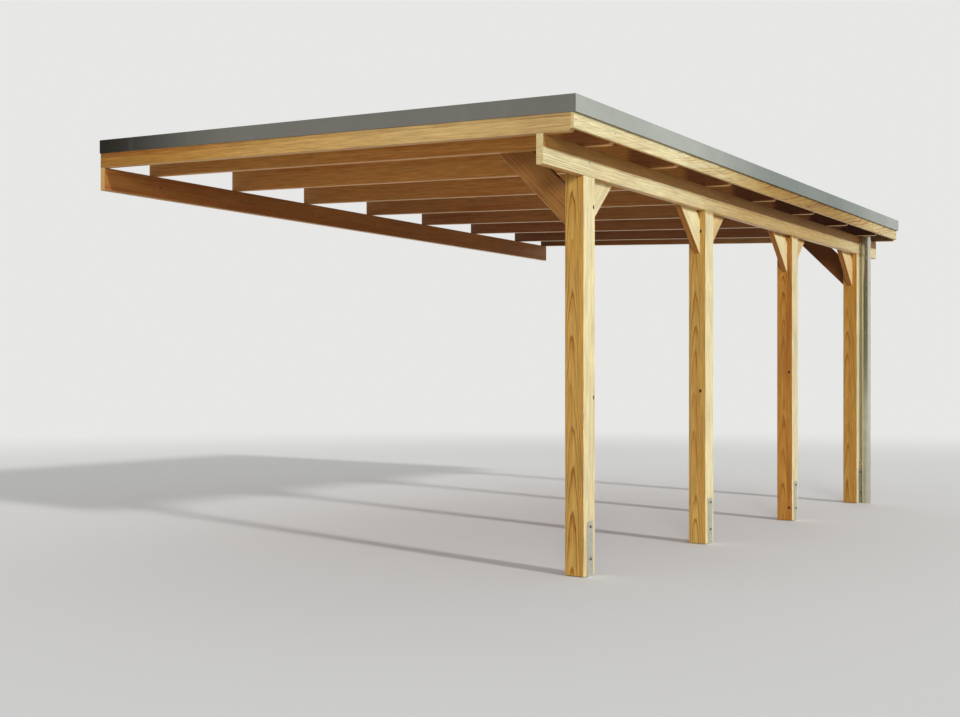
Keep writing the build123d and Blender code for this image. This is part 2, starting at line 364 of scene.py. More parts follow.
class Grain(Enum):
    """Which way a timber's grain runs, and which way lies through it, broad face to broad face."""

    ALONG_ROOF = ((0, 1, 0), (1, 0, 0))
    DOWN_SLOPE = ((math.cos(ROOF_FALL), 0, -math.sin(ROOF_FALL)), (0, 1, 0))
    UPRIGHT = ((0, 0, 1), (0, 1, 0))
    LEANING_BACK = ((0, 1, 1), (1, 0, 0))
    LEANING_FORWARD = ((0, -1, 1), (1, 0, 0))
    LEANING_INWARD = ((-1, 0, 1), (0, 1, 0))

    def axes(self) -> tuple[Vector, Vector, Vector]:
        """The timber's own directions.

        Returns:
            The directions through it, across its face and along its grain.
        """
        along = Vector(self.value[0]).normalized()
        through = Vector(self.value[1]).normalized()
        return through, along.cross(through), along

    def turn(self) -> Matrix:
        """The rotation that lays those three directions along X, Y and Z."""
        return Matrix(self.axes())


@dataclass(frozen=True)
class Growth:
    """How a tree grew, which sets the figure of the timber that was cut from it.

    Attributes:
        ring: The width of one year's growth.
        taper: How fast the trunk narrows.
        lean: How far its heart wanders through the timber.
        sway: How far its heart wanders across the timber's face.
        waver: How ragged its rings are, in years.
    """

    ring: float = mm(4.5)
    taper: float = 0.014
    lean: float = mm(14)
    sway: float = mm(40)
    waver: float = 1.3


SLOW_GROWN = Growth(mm(3.6), 0.015, mm(13), mm(36), 1.2)
EVEN_GROWN = Growth(mm(6.5), 0.005, mm(5), mm(9), 1.0)
FAST_GROWN = Growth(mm(11), 0.004, mm(4), mm(9), 0.8)
FLAT_CUT = Growth(mm(18), 0.11, mm(22), mm(40), 0.9)


@dataclass(frozen=True)
class Knots:
    """A row of small knots along a timber; as it stands, too far off for any to show.

    Attributes:
        line: Where they lie across its face.
        first: Where the first one is along it.
        gap: How far apart they are.
        outer: Whether they show on its outer face and not on its front.
    """

    line: float = 0.0
    first: float = 500.0
    gap: float = 1000.0
    outer: bool = False


@dataclass(frozen=True)
class Stick:
    """What sets one timber apart from the next of its kind.

    Attributes:
        grain: Which way its grain runs.
        centre: The middle of the timber, which its figure is laid out from.
        heart: Where the tree's heart lies from that middle, through the timber and across its face.
        slide: Where along the tree it was cut.
        knots: Its row of knots.
        figure: How strongly its growth rings show.
        plain_front: How much of that its front end lacks.
        tone: From -1, dark and red, to 1, pale.
        tint: What its colour is multiplied by.
        growth: How its tree grew.
        sun_and_bleach_share: How far bleaching and painted sunlight reach it where it looks out
            from the ledger.
        exposed: How open it is to the weather and to painted sunlight where it looks along the
            roof.
        shade: How far the shade at the roof's rear reaches it.
        ledger_shaded: How far shade is painted on it next to the ledger.
    """

    grain: Grain
    centre: Vector
    heart: Span
    slide: float
    knots: Knots = Knots()
    figure: float = 0.5
    plain_front: float = 0.0
    tone: float = 0.0
    tint: Colour = WHITE
    growth: Growth = EVEN_GROWN
    sun_and_bleach_share: float = 1.0
    exposed: float = 0.0
    shade: float = 1.0
    ledger_shaded: float = 1.0


@dataclass(frozen=True)
class Weather:
    """Where the sun's bleaching reaches the carport, and where its sunlight and shade are painted
    on.

    Attributes:
        looks_out: Between which squareness to the ledger a face counts as looking out from it.
        looks_along: The same for a face that looks along the roof.
        eaves_out: How far out the fascia's face stands.
        eaves_low: How low the fascia reaches.
        fascia: Between which places out from the ledger the fascia begins.
        slope: How steeply the sun comes in under it.
        sun_edge: Between which heights round that line the painted sunlight fades in, as a painted
            shadow edge.
        shade_rises: Between which places along the roof the shade on its rear begins.
        shade_falls: Between which places that shade thins again.
        shade_thins: How far it does.
        shade_low: Between which heights it begins.
        deepens: Between which places along the roof the space under it gets darker, as painted
            shade.
        shade_by_ledger: Between which places out from the ledger the painted shade next to it
            begins and is whole.
        tails: Between which places out from the ledger the painted shade on the rafters' ends
            begins.
        tails_low: Between which heights it does.
        patches: The patches of stronger bleaching and painted sunlight.
        patch_levels: How much bleaching and painted sunlight there is at the least, and how much
            more in a patch.
        out_sun_and_bleach: How far faces that look out take bleaching and painted sunlight.
        along_sun_and_bleach: How far faces that look along the roof do.
        along_reach: Between which places out from the ledger that sets in.
        shade_saves: How much of the bleaching and painted sunlight that shade has kept off.
    """

    looks_out: Span = (0.3, 0.9)
    looks_along: Span = (0.7, 0.95)
    eaves_out: float = 3.723
    eaves_low: float = -0.109
    fascia: Span = (3.663, 3.693)
    slope: float = 0.40
    sun_edge: Span = (mm(-3), mm(4))
    shade_rises: Span = (-1.7, 0.1)
    shade_falls: Span = (1.1, 2.7)
    shade_thins: float = 0.8
    shade_low: Span = (-0.30, -0.28)
    deepens: Span = (-2.7, 1.6)
    shade_by_ledger: Span = (2.4, -0.3)
    tails: Span = (3.36, 3.43)
    tails_low: Span = (-0.13, -0.12)
    patches: Noise = Noise(2.3)
    patch_levels: Span = (0.70, 0.6)
    out_sun_and_bleach: float = 0.88
    along_sun_and_bleach: float = 0.36
    along_reach: Span = (0.3, 3.2)
    shade_saves: float = 0.64

    def outward(self, tree: ShaderTree) -> Value:
        """1 on faces that look out from the ledger."""
        return tree.parts(tree.normal())[0].step(*self.looks_out)

    def sideways(self, tree: ShaderTree) -> Value:
        """1 on faces that look along the roof, forwards or back."""
        return tree.parts(tree.normal())[1].size().step(*self.looks_along)

    def shaded(self, tree: ShaderTree) -> Value:
        """Where the roof lies in shade.

        Args:
            tree: The tree of nodes.

        Returns:
            1 towards the roof's rear, on faces that look out.
        """
        _, run, height = tree.parts(tree.place())
        along = run.step(*self.shade_rises) * (1.0 - run.step(*self.shade_falls) * self.shade_thins)
        return self.outward(tree) * along * height.step(*self.shade_low)

    def rearward(self, tree: ShaderTree) -> Value:
        """From 0 at the roof's front to 1 at its rear."""
        return tree.parts(tree.place())[1].step(*self.deepens)

    def ledger_shaded(self, tree: ShaderTree) -> Value:
        """1 next to the ledger, on faces that look along the roof, and 0 further out: where shade
        is painted.
        """
        return self.sideways(tree) * tree.parts(tree.place())[0].step(*self.shade_by_ledger)

    def under_eaves_shade(self, tree: ShaderTree) -> Value:
        """1 on what lies under the eaves, beyond the purlin, where shade is painted."""
        reach, _, height = tree.parts(tree.place())
        return reach.step(*self.tails) * height.step(*self.tails_low)

    def sun_reaches(self, tree: ShaderTree) -> Value:
        """Where the sun comes in; above its line a shadow is painted, below it sunlight.

        Args:
            tree: The tree of nodes.

        Returns:
            1 below the line on which it comes in under the eaves, and on the fascia.
        """
        reach, _, height = tree.parts(tree.place())
        line = self.eaves_low - (self.eaves_out - reach) * self.slope
        return (line - height).step(*self.sun_edge).most(reach.step(*self.fascia))

    def unlit(self, tree: ShaderTree) -> Value:
        """1 on faces that look out, where the eaves keep the sun off them."""
        return self.outward(tree) * (1.0 - self.sun_reaches(tree))

    def sun_and_bleach(self, tree: ShaderTree, stick: Stick) -> Value:
        """How far a timber's face takes bleaching and painted sunlight.

        Args:
            tree: The tree of nodes.
            stick: How open the timber is to sun and weather.

        Returns:
            The share, from 0 to 1.
        """
        place = tree.place()
        reach = tree.parts(place)[0]
        left = self.out_sun_and_bleach - self.shaded(tree) * (self.shade_saves * stick.shade)
        out = self.outward(tree) * self.sun_reaches(tree) * left
        along = self.sideways(tree) * reach.step(*self.along_reach) * (
            self.along_sun_and_bleach * stick.exposed)
        least, more = self.patch_levels
        return (out * stick.sun_and_bleach_share + along) * (least + self.patches.at(tree, place) * more)


@dataclass(frozen=True)
class RingTones:
    """The colours through one year's growth, from its pale early wood to its dark late wood."""

    early: Colour
    middle: Colour
    late: Colour
    stops: tuple[float, ...] = (0.0, 0.46, 0.74, 0.86, 0.94, 1.0)

    def plain(self) -> Colour:
        """The colour of wood whose rings don't show."""
        return tuple((e + m) / 2 for e, m in zip(self.early, self.middle))

    def show(self, tree: ShaderTree, ring: Value, strength: Number) -> bpy.types.NodeSocket:
        """The colour of the growth rings, drawn towards plain wood where they are faint."""
        tones = (self.early, self.early, self.middle, self.late, self.late, self.early)
        return tree.blend(strength, self.plain(), tree.ramp(ring, list(zip(self.stops, tones))))


@dataclass(frozen=True)
class GlazedSoftwood:
    """Planed softwood under a clear honey glaze, with bleaching and painted sunlight where it looks
    out, and painted shade and bounce light.

    Attributes:
        glazed: The colours of its rings under the glaze.
        sun_and_bleach: The same where sun bleaching and painted sunlight lie on them.
        red, knot, sawn: The colours of its resin streaks, its knots and its sawn ends.
        painted_rear_shade: What its colour is multiplied by in the painted shade at the roof's
            rear.
        shade_by_ledger: The same, as painted shade, next to the ledger.
        unlit: The same on faces that look out, where the eaves keep the sun off them.
        eaves: The same, as painted shade, on the rafters' ends, at the roof's front and at its
            rear.
        never_lit: The same on the braces' lower edges.
        painted_bounce: The painted bounce light on undersides, at the roof's front and at its rear.
        bounce_shares: How far they have it at the front, and how much further at the rear.
        knot_edge: How far off a knot's middle its edge begins and ends.
        knot_squeeze: How much nearer its ends seem than they are, which makes it long.
        eye_radius: How far round a knot the growth is swollen.
        eye_years: How many years that shifts the rings by.
        leans, sways, wavers: The patterns of the heart's wandering and of the rings' edges.
        seasons: The pattern of wide and narrow years, by the distance from the heart.
        season_years: How many years that shifts the rings by.
        fades: Where the rings are faint.
        fade_levels: Between which levels of that pattern they fade.
        faintest: How strongly they show at the least.
        streaks: The pattern of the resin streaks.
        red_levels: Between which levels of it they are red.
        red_shares: How red they are, and how much less in a pale timber.
        dashes, fibres, tides: The flecks along the grain, from the middling to the fine and wide.
        tide_tone: How much paler the wide ones are in a pale timber.
        wear_and_highlight: How far the bevelled edges are paled, by glaze wear and by a painted
            highlight.
        soaked: How far the sawn ends have taken their own colour.
        sawn_square: Between which squareness to the grain a face is a sawn end.
        arris_flat: Between which squareness to a flat face a bevelled edge begins.
        arris_end: Between which squareness to the grain it ends.
        looks_down: Between which heights of its direction a face is an underside.
        leans_out: Between which differences from a slope of 45 degrees it is a lower edge.
        late_wood: Between which parts of a year's growth the wood stands up.
        rises: How far late wood and streaks stand up, and knots lie in.
        relief: The depth and the strength of all that.
        roughness: Its least, and what streaks and sawn ends add to it.
        weather: Where sun and damp reach.
    """

    glazed: RingTones = RingTones((0.72, 0.43, 0.115), (0.62, 0.31, 0.060), (0.33, 0.110, 0.015))
    sun_and_bleach: RingTones = RingTones((0.97, 0.92, 0.60), (0.91, 0.79, 0.41), (0.66, 0.42, 0.14))
    red: Colour = (0.52, 0.190, 0.030)
    knot: Colour = (0.050, 0.012, 0.004)
    sawn: Colour = (0.54, 0.42, 0.19)
    painted_rear_shade: Colour = (0.55, 0.46, 0.185)
    shade_by_ledger: Colour = (0.62, 0.52, 0.46)
    unlit: Colour = (0.68, 0.62, 0.62)
    eaves: tuple[Colour, Colour] = ((0.64, 0.55, 0.70), (0.30, 0.22, 0.28))
    never_lit: Colour = (0.66, 0.49, 0.38)
    painted_bounce: tuple[Colour, Colour] = ((0.90, 0.58, 0.24), (1.0, 0.84, 0.60))
    bounce_shares: Span = (0.5, 0.45)
    knot_edge: Span = (mm(10), mm(7))
    knot_squeeze: float = 0.72
    eye_radius: float = mm(50)
    eye_years: float = 0.7
    leans: Noise = Noise((0.4, 0.4, 0.9), 1.5)
    sways: Noise = Noise((0.4, 0.7, 0.4), 1.5)
    wavers: Noise = Noise((16, 16, 3.0), 3.0, 0.6)
    seasons: Noise = Noise((40, 1, 1), 2.0)
    season_years: float = 4.0
    fades: Noise = Noise((2, 7, 1.6), 2.0)
    fade_levels: Span = (0.38, 0.60)
    faintest: float = 0.3
    streaks: Noise = Noise((20, 20, 0.7))
    red_levels: Span = (0.48, 0.72)
    red_shares: Span = (0.55, 0.30)
    dashes: Flecks = Flecks(Noise((95, 95, 5), 3.0, 0.7), dark=0.56, share=0.9)
    fibres: Flecks = Flecks(Noise((600, 600, 9), 2.0), dark=0.74, share=0.4)
    tides: Flecks = Flecks(Noise((3, 3, 0.7), 2.0), dark=0.74, share=0.6)
    tide_tone: float = 0.12
    wear_and_highlight: float = 0.25
    soaked: float = 0.35
    sawn_square: Span = (0.70, 0.9)
    arris_flat: Span = (0.9, 0.8)
    arris_end: Span = (0.3, 0.1)
    looks_down: Span = (-0.8, -0.97)
    leans_out: Span = (0.12, 0.05)
    late_wood: Span = (0.4, 0.9)
    rises: Triple = (0.6, 0.3, 0.5)
    relief: Span = (mm(0.4), 0.5)
    roughness: Triple = (0.42, 0.18, 0.25)
    weather: Weather = Weather()

    def make(self, name: str, stick: Stick) -> bpy.types.Material:
        """Make the material of one timber.

        Args:
            name: The material's name.
            stick: The timber's own grain.

        Returns:
            The material.
        """
        tree = new_material(name)
        turn = stick.grain.turn()
        lay = tree.mapped(tree.place(), shift=-(turn @ stick.centre), turn=turn.to_euler())
        through, across, along = tree.parts(lay)
        run = along + stick.slide
        spot = tree.point(through, across, run)
        knots, eye = self.knots((through if stick.knots.outer else across) - stick.knots.line,
                                along - stick.knots.first, stick.knots.gap)
        ring = self.rings(tree, stick.growth, through - stick.heart[0], across - stick.heart[1],
                          run, eye)
        streak = self.streaks.at(tree, spot)
        ends = self.end_grain(tree, stick.grain)
        strength = self.strength(tree, stick, spot)
        flush = tree.blend(streak.step(*self.red_levels) * self.redness(stick.tone),
                           self.glazed.show(tree, ring, strength), self.red)
        tinted = tree.dimmed(flush, stick.tint, 1.0 - ends)
        pale = self.sun_and_bleach.show(tree, ring, strength)
        # These pale ring colours are sun bleaching and also painted sunlight on faces that look
        # out.
        sun_and_bleach_colour = tree.blend(self.weather.sun_and_bleach(tree, stick), tinted, pale)
        # The bevelled edges are paled: glaze wear, and a painted highlight.
        wear_and_highlight = tree.blend(self.arris(tree, stick.grain) * self.wear_and_highlight,
                          self.shade_and_bounce(tree, stick, sun_and_bleach_colour), self.sun_and_bleach.early)
        grained = self.grained(tree, wear_and_highlight, spot)
        clouded = self.tides.over(tree, grained, spot, stick.tone * self.tide_tone)
        sawn = tree.blend(ends * self.soaked, clouded, self.sawn)
        late_rise, streak_rise, knot_sink = self.rises
        height = ring.step(*self.late_wood) * late_rise + streak * streak_rise - knots * knot_sink
        least, by_streaks, by_ends = self.roughness
        return tree.principled(
            Base_Color=tree.blend(knots * (1 - ends), sawn, self.knot),
            Roughness=least + streak * by_streaks + ends * by_ends,
            Normal=tree.relief(height, *self.relief),
            Specular_IOR_Level=0.28, Coat_Weight=0.03, Coat_Roughness=0.3,
        )

    def redness(self, tone: float) -> float:
        """How red the resin streaks are in a timber of a tone."""
        return self.red_shares[0] - tone * self.red_shares[1]

    def strength(self, tree: ShaderTree, stick: Stick, spot: object) -> Value:
        """How strongly a timber's growth rings show.

        Args:
            tree: The tree of nodes.
            stick: The timber's own grain.
            spot: The point, through the timber, across it and along it.

        Returns:
            The strength, where 1 is full.
        """
        faded = self.fades.at(tree, spot).step(*self.fade_levels)
        strength = (faded * (1 - self.faintest) + self.faintest) * stick.figure
        return strength * (1.0 - (1.0 - self.weather.rearward(tree)) * stick.plain_front)

    def shade_and_bounce(self, tree: ShaderTree, stick: Stick, colour: object) -> bpy.types.NodeSocket:
        """Paint shade where the wood lies in shadow, and bounce light on its undersides.

        Args:
            tree: The tree of nodes.
            stick: The timber's own grain.
            colour: Its colour.

        Returns:
            The colour with its painted shade and bounce light.
        """
        weather = self.weather
        rearward = weather.rearward(tree)
        under_eaves_shade = weather.under_eaves_shade(tree) * weather.sideways(tree) * (1.0 - min(stick.exposed, 1.0))
        # Each share below lays painted shade on the wood.
        for share, painted_shade in (
            (weather.shaded(tree) * stick.shade, self.painted_rear_shade),
            (weather.ledger_shaded(tree) * stick.ledger_shaded, self.shade_by_ledger),
            (weather.unlit(tree), self.unlit),
            (under_eaves_shade, tree.blend(rearward, *self.eaves)),
            (self.lower_edge(tree), self.never_lit),
        ):
            colour = tree.dimmed(colour, painted_shade, share)
        front, rear = self.bounce_shares
        under = self.underside(tree) * (rearward * rear + front)
        return tree.blend(under, colour, tree.blend(rearward, *self.painted_bounce))

    def grained(self, tree: ShaderTree, colour: object, spot: object) -> bpy.types.NodeSocket:
        """Darken a colour by the dashes along the grain, and by the fine fibres between them."""
        return self.fibres.over(tree, self.dashes.over(tree, colour, spot), spot)

    def rings(self, tree: ShaderTree, growth: Growth, through: Value, across: Value, run: Value,
              eye: Number) -> Value:
        """How far through its year's growth the wood is at a point, from 0 to 1.

        Args:
            tree: The tree of nodes.
            growth: How the tree in the wood grew.
            through: How far the point lies from the tree's heart, through the timber.
            across: How far it lies from the heart across the timber's face.
            run: Where it lies along the tree.
            eye: How strongly the growth is swollen round a knot there.

        Returns:
            The share of the year.
        """
        spot = tree.point(through, across, run)
        lean = self.leans.at(tree, spot) - 0.5
        sway = self.sways.at(tree, tree.point(across, run, through)) - 0.5
        off = (through + lean * growth.lean).distance(across + sway * growth.sway)
        radius = off + run * growth.taper
        season = self.seasons.at(tree, tree.point(radius, 0.0, 0.0)) * self.season_years
        waver = self.wavers.at(tree, spot) * growth.waver
        return (radius / growth.ring + season + waver + eye * self.eye_years).fraction()

    def knots(self, off_line: Value, along: Value, gap: float) -> tuple[Value, Value]:
        """A line of small dark knots.

        Args:
            off_line: How far the point lies off their line.
            along: How far it lies beyond the first of them.
            gap: How far apart they are.

        Returns:
            Where the knots are, and the swelling that the growth rings flow round.
        """
        past = ((along / gap + 0.5).fraction() - 0.5) * gap
        far = off_line.distance(past * self.knot_squeeze)
        return far.step(*self.knot_edge), far.step(self.eye_radius, 0.0)

    def underside(self, tree: ShaderTree) -> Value:
        """1 on faces that look down, where bounce light is painted."""
        return tree.parts(tree.normal())[2].step(*self.looks_down)

    def lower_edge(self, tree: ShaderTree) -> Value:
        """1 on the braces' lower edges, which lean out over the ground."""
        return (tree.parts(tree.normal())[2] + math.sqrt(0.5)).size().step(*self.leans_out)

    def end_grain(self, tree: ShaderTree, grain: Grain) -> Value:
        """1 on the sawn ends of a timber, where the glaze soaks in."""
        return tree.squareness(grain.axes()[2]).step(*self.sawn_square)

    def arris(self, tree: ShaderTree, grain: Grain) -> Value:
        """The bevelled edges of a timber, where the glaze wears thin and a highlight is painted.

        Args:
            tree: The tree of nodes.
            grain: Which way the timber's grain runs.

        Returns:
            1 on those edges.
        """
        through, across, along = (tree.squareness(axis) for axis in grain.axes())
        return through.most(across).step(*self.arris_flat) * along.step(*self.arris_end)


@dataclass(frozen=True)
class TonguedBoards:
    """Planed boards side by side, each with its own grain and shade.

    Attributes:
        wood: What they are made of.
        cover: The width that one board covers.
        slide: From how long a tree they are cut.
        growth: How it grew.
        heart_depth: How far above them its heart lies.
        heart_wander: How far across a board the heart may lie.
        knot_gap: How far apart the knots are.
        knot_wander: How far across a board they may lie.
        figure: How strongly the growth rings show.
        tones: The darkest and the palest board.
        tone_share: How far they differ.
        painted_shade: What their colour is multiplied by, as painted shade under the roof.
        under_eaves_shade: The same, as deeper painted shade, under the eaves beyond the purlin.
        late_wood: Between which parts of a year's growth the wood stands up.
        relief: The depth and the strength of that.
        roughness: Its least, and what it gains from board to board.
    """

    wood: GlazedSoftwood = GlazedSoftwood()
    cover: float = mm(135)
    slide: float = 37.0
    growth: Growth = Growth()
    heart_depth: float = mm(60)
    heart_wander: float = mm(50)
    knot_gap: float = 2.3
    knot_wander: float = mm(70)
    figure: float = 0.6
    tones: Span = (0.72, 0.96)
    tone_share: float = 0.6
    painted_shade: Colour = (0.40, 0.20, 0.13)
    under_eaves_shade: Colour = (0.20, 0.09, 0.065)
    late_wood: Span = (0.5, 0.95)
    relief: Span = (mm(0.3), 0.5)
    roughness: Span = (0.5, 0.1)

    def make(self, name: str) -> bpy.types.Material:
        """Make the material, with the boards along Y.

        Args:
            name: The material's name.

        Returns:
            The material.
        """
        tree = new_material(name)
        x, y, z = tree.parts(tree.place())
        board = (x / self.cover).floor()
        chance = tree.node("ShaderNodeTexWhiteNoise", {"noise_dimensions": "1D"}, {"W": board})
        luck, slide, tone = tree.parts(chance.outputs["Color"])
        luck = luck - 0.5
        across = x - (board + 0.5) * self.cover
        run = y + slide * self.slide
        knots, eye = self.wood.knots(across - luck * self.knot_wander, run, self.knot_gap)
        depth = z + x * math.tan(ROOF_FALL) + self.heart_depth
        ring = self.wood.rings(tree, self.growth, depth, across + luck * self.heart_wander,
                               run, eye)
        figure = self.wood.glazed.show(tree, ring, self.figure)
        grained = self.wood.grained(tree, figure, tree.point(z, across, run))
        toned = tree.dimmed(grained, tree.grey(tone, self.tones), self.tone_share)
        painted_shade = tree.blend(self.wood.weather.under_eaves_shade(tree), self.painted_shade, self.under_eaves_shade)
        colour = tree.blend(knots, tree.dimmed(toned, painted_shade), self.wood.knot)
        return tree.principled(
            Base_Color=colour, Roughness=self.roughness[0] + tone * self.roughness[1],
            Normal=tree.relief(ring.step(*self.late_wood), *self.relief))


@dataclass(frozen=True)
class CoatedSheet:
    """Folded sheet with a satin grey coat, paler where it looks out, from dust and painted
    sunlight, and with painted shade.

    Attributes:
        colour: The coat.
        dust: The dust on it, which on faces that look out also stands for painted sunlight.
        shade: The coat in its painted shade next to the ledger.
        painted_rear_shade: What the colour is multiplied by in the painted shade at the roof's
            rear.
        clouds, runs, grit: The patterns of the dust, of the rain's runs in it and of the coat.
        out_dust_and_sunlight: How much dust and painted sunlight faces have that look out, and how
            much less in the rear's painted shade.
        up_dust: How much dust lies on faces that look up.
        looks_up: Between which heights of its direction a face looks up.
        cloud_dust: How much of the dust there is at the least, and how much more in a cloud.
        run_dust: How much dust lies in the runs.
        run_levels: Between which levels of their pattern it does.
        mottle: How much of the mottle is cloud and how much grit.
        mottle_levels: What the colour is multiplied by in the darkest and palest of it.
        mottle_stops: At which levels of its pattern that is.
        mottle_share: How far it shows.
        relief: The depth and the strength of the coat's unevenness.
        relief_grit: How much of that is grit.
        roughness: Its least, and what runs and clouds add to it.
        weather: Where sun and damp reach.
    """

    colour: Colour = (0.205, 0.205, 0.188)
    dust: Colour = (0.585, 0.655, 0.60)
    shade: Colour = (0.026, 0.021, 0.016)
    painted_rear_shade: Colour = (0.60, 0.65, 0.65)
    clouds: Noise = Noise(2.6, 4.0, 0.6)
    runs: Noise = Noise((14, 14, 1.5), 4.0, 0.6)
    grit: Noise = Noise(300.0, 2.0)
    out_dust_and_sunlight: Span = (0.42, 0.14)
    up_dust: float = 0.25
    looks_up: Span = (0.5, 0.9)
    cloud_dust: Span = (0.75, 0.5)
    run_dust: float = 0.05
    run_levels: Span = (0.55, 0.8)
    mottle: Span = (0.7, 0.3)
    mottle_levels: Span = (0.84, 1.0)
    mottle_stops: Span = (0.35, 0.65)
    mottle_share: float = 0.6
    relief: Span = (mm(0.8), 0.3)
    relief_grit: float = 0.1
    roughness: Triple = (0.36, 0.14, 0.1)
    weather: Weather = Weather(shade_by_ledger=(1.40, 0.0))

    def make(self, name: str) -> bpy.types.Material:
        """Make the material.

        Args:
            name: The material's name.

        Returns:
            The material.
        """
        tree = new_material(name)
        weather, place = self.weather, tree.place()
        up = tree.parts(tree.normal())[2].step(*self.looks_up)
        cloud, runs, grit = (p.at(tree, place) for p in (self.clouds, self.runs, self.grit))
        # Faces that look out are paled by dust and by painted sunlight.
        outward = (weather.outward(tree) * self.out_dust_and_sunlight[0]
                   - weather.shaded(tree) * self.out_dust_and_sunlight[1])
        dust_and_sun_share = (outward + up * self.up_dust) * (self.cloud_dust[0] + cloud * self.cloud_dust[1])
        # Painted shade next to the ledger.
        base = tree.blend(weather.ledger_shaded(tree), self.colour, self.shade)
        dusted_and_sunlit = tree.blend(dust_and_sun_share + runs.step(*self.run_levels) * self.run_dust, base, self.dust)
        # Painted shade at the roof's rear.
        with_rear_shade = tree.dimmed(dusted_and_sunlit, self.painted_rear_shade, weather.shaded(tree))
        mottle = tree.grey(cloud * self.mottle[0] + grit * self.mottle[1], self.mottle_levels,
                           self.mottle_stops)
        least, by_runs, by_clouds = self.roughness
        return tree.principled(
            Base_Color=tree.dimmed(with_rear_shade, mottle, self.mottle_share), Metallic=0.25,
            Roughness=least + runs * by_runs + cloud * by_clouds,
            Normal=tree.relief(cloud + grit * self.relief_grit, *self.relief))


@dataclass(frozen=True)
class DrawnPipe:
    """Thin bright pipe with a welded seam, fine draw lines and dull blooms.

    Attributes:
        centre: Where the pipe's axis stands.
        colour: The bright metal, whose warm cast is painted reflection.
        bloom: The dull metal.
        lines: The pattern of the draw lines, round the pipe and up it.
        clouds: The pattern of the blooms.
        bloom_levels: Between which levels of both the metal is dull.
        dulls: How dull the blooms and the seam are.
        seam_turn: How far round from the outer side the seam lies.
        seam_width: Half its width, as an angle.
        line_rise: How far the draw lines stand up beside the seam.
        relief: The depth and the strength of both.
        roughness: Its least, and what blooms and the seam add to it.
    """

    centre: Span
    colour: Colour = (0.62, 0.60, 0.48)
    bloom: Colour = (0.42, 0.39, 0.28)
    lines: Noise = Noise((14, 0.6, 1), 4.0, 0.6)
    clouds: Noise = Noise(7.0, 4.0, 0.6)
    bloom_levels: Span = (0.45, 0.65)
    dulls: Span = (0.7, 0.3)
    seam_turn: float = math.radians(135)
    seam_width: float = math.radians(2.2)
    line_rise: float = 0.5
    relief: Span = (mm(0.4), 0.3)
    roughness: Triple = (0.13, 0.10, 0.1)

    def make(self, name: str) -> bpy.types.Material:
        """Make the material, with its draw lines upright.

        Args:
            name: The material's name.

        Returns:
            The material.
        """
        tree = new_material(name)
        place = tree.place()
        x, y, z = tree.parts(place)
        turn = (y - self.centre[1]).turn(x - self.centre[0])
        lines = self.lines.at(tree, tree.point(turn, z, 0.0))
        seam = (turn.size() - self.seam_turn).size().step(self.seam_width, 0.0)
        dull = (lines * 0.5 + self.clouds.at(tree, place) * 0.5).step(*self.bloom_levels)
        colour = tree.blend(dull * self.dulls[0] + seam * self.dulls[1], self.colour, self.bloom)
        least, by_bloom, by_seam = self.roughness
        return tree.principled(
            Base_Color=colour, Metallic=0.9, Roughness=least + dull * by_bloom + seam * by_seam,
            Normal=tree.relief(lines * self.line_rise + seam, *self.relief))


@dataclass(frozen=True)
class GalvanisedSteel:
    """Hot-dip galvanised steel, with its zinc crystals and its darker bolt heads.

    Attributes:
        head: The colour of bolt heads.
        dark, pale: The colours of the zinc.
        crystal: How wide its crystals are.
        bends: The pattern that bends their edges.
        bend: How far it bends them, along each axis.
        clouds: The pattern of duller and brighter zinc.
        shares: How much of the tone comes from the crystals and how much from the clouds.
        stops: Between which tones the zinc goes from dark to pale.
        strap_middle: How far out from the ledger the straps' middle lies.
        head_reach: Between which distances from that middle the bolt heads begin.
        head_share: How far their colour covers the zinc.
        metallic: How metallic the zinc is, and how much less the heads.
        roughness: Its least, and what it gains from crystal to crystal.
        relief: The depth and the strength of the clouds.
    """

    head: Colour = (0.10, 0.09, 0.075)
    dark: Colour = (0.50, 0.50, 0.43)
    pale: Colour = (0.64, 0.64, 0.55)
    crystal: float = mm(9)
    bends: Noise = Noise(60.0, 2.0)
    bend: Triple = (mm(4), mm(-4), mm(3))
    clouds: Noise = Noise(14.0)
    shares: Span = (0.6, 0.4)
    stops: Span = (0.2, 0.8)
    strap_middle: float = 3.483
    head_reach: Span = (mm(65.3), mm(65.9))
    head_share: float = 0.9
    metallic: Span = (0.75, 0.4)
    roughness: Span = (0.34, 0.16)
    relief: Span = (mm(0.4), 0.3)

    def make(self, name: str) -> bpy.types.Material:
        """Make the material.

        Args:
            name: The material's name.

        Returns:
            The material.
        """
        tree = new_material(name)
        place = tree.place()
        parts, bend = tree.parts(place), self.bends.at(tree, place)
        bent = tree.point(*(part + bend * reach for part, reach in zip(parts, self.bend)))
        cells = tree.node("ShaderNodeTexVoronoi", {}, {"Vector": bent, "Scale": 1 / self.crystal})
        tone = tree.parts(cells.outputs["Color"])[0]
        cloud = self.clouds.at(tree, place)
        zinc = tree.ramp(tone * self.shares[0] + cloud * self.shares[1],
                         list(zip(self.stops, (self.dark, self.pale))))
        bolt = (parts[0] - self.strap_middle).size().step(*self.head_reach)
        return tree.principled(
            Base_Color=tree.blend(bolt * self.head_share, zinc, self.head),
            Metallic=self.metallic[0] - bolt * self.metallic[1],
            Roughness=self.roughness[0] + tone * self.roughness[1],
            Normal=tree.relief(cloud, *self.relief))


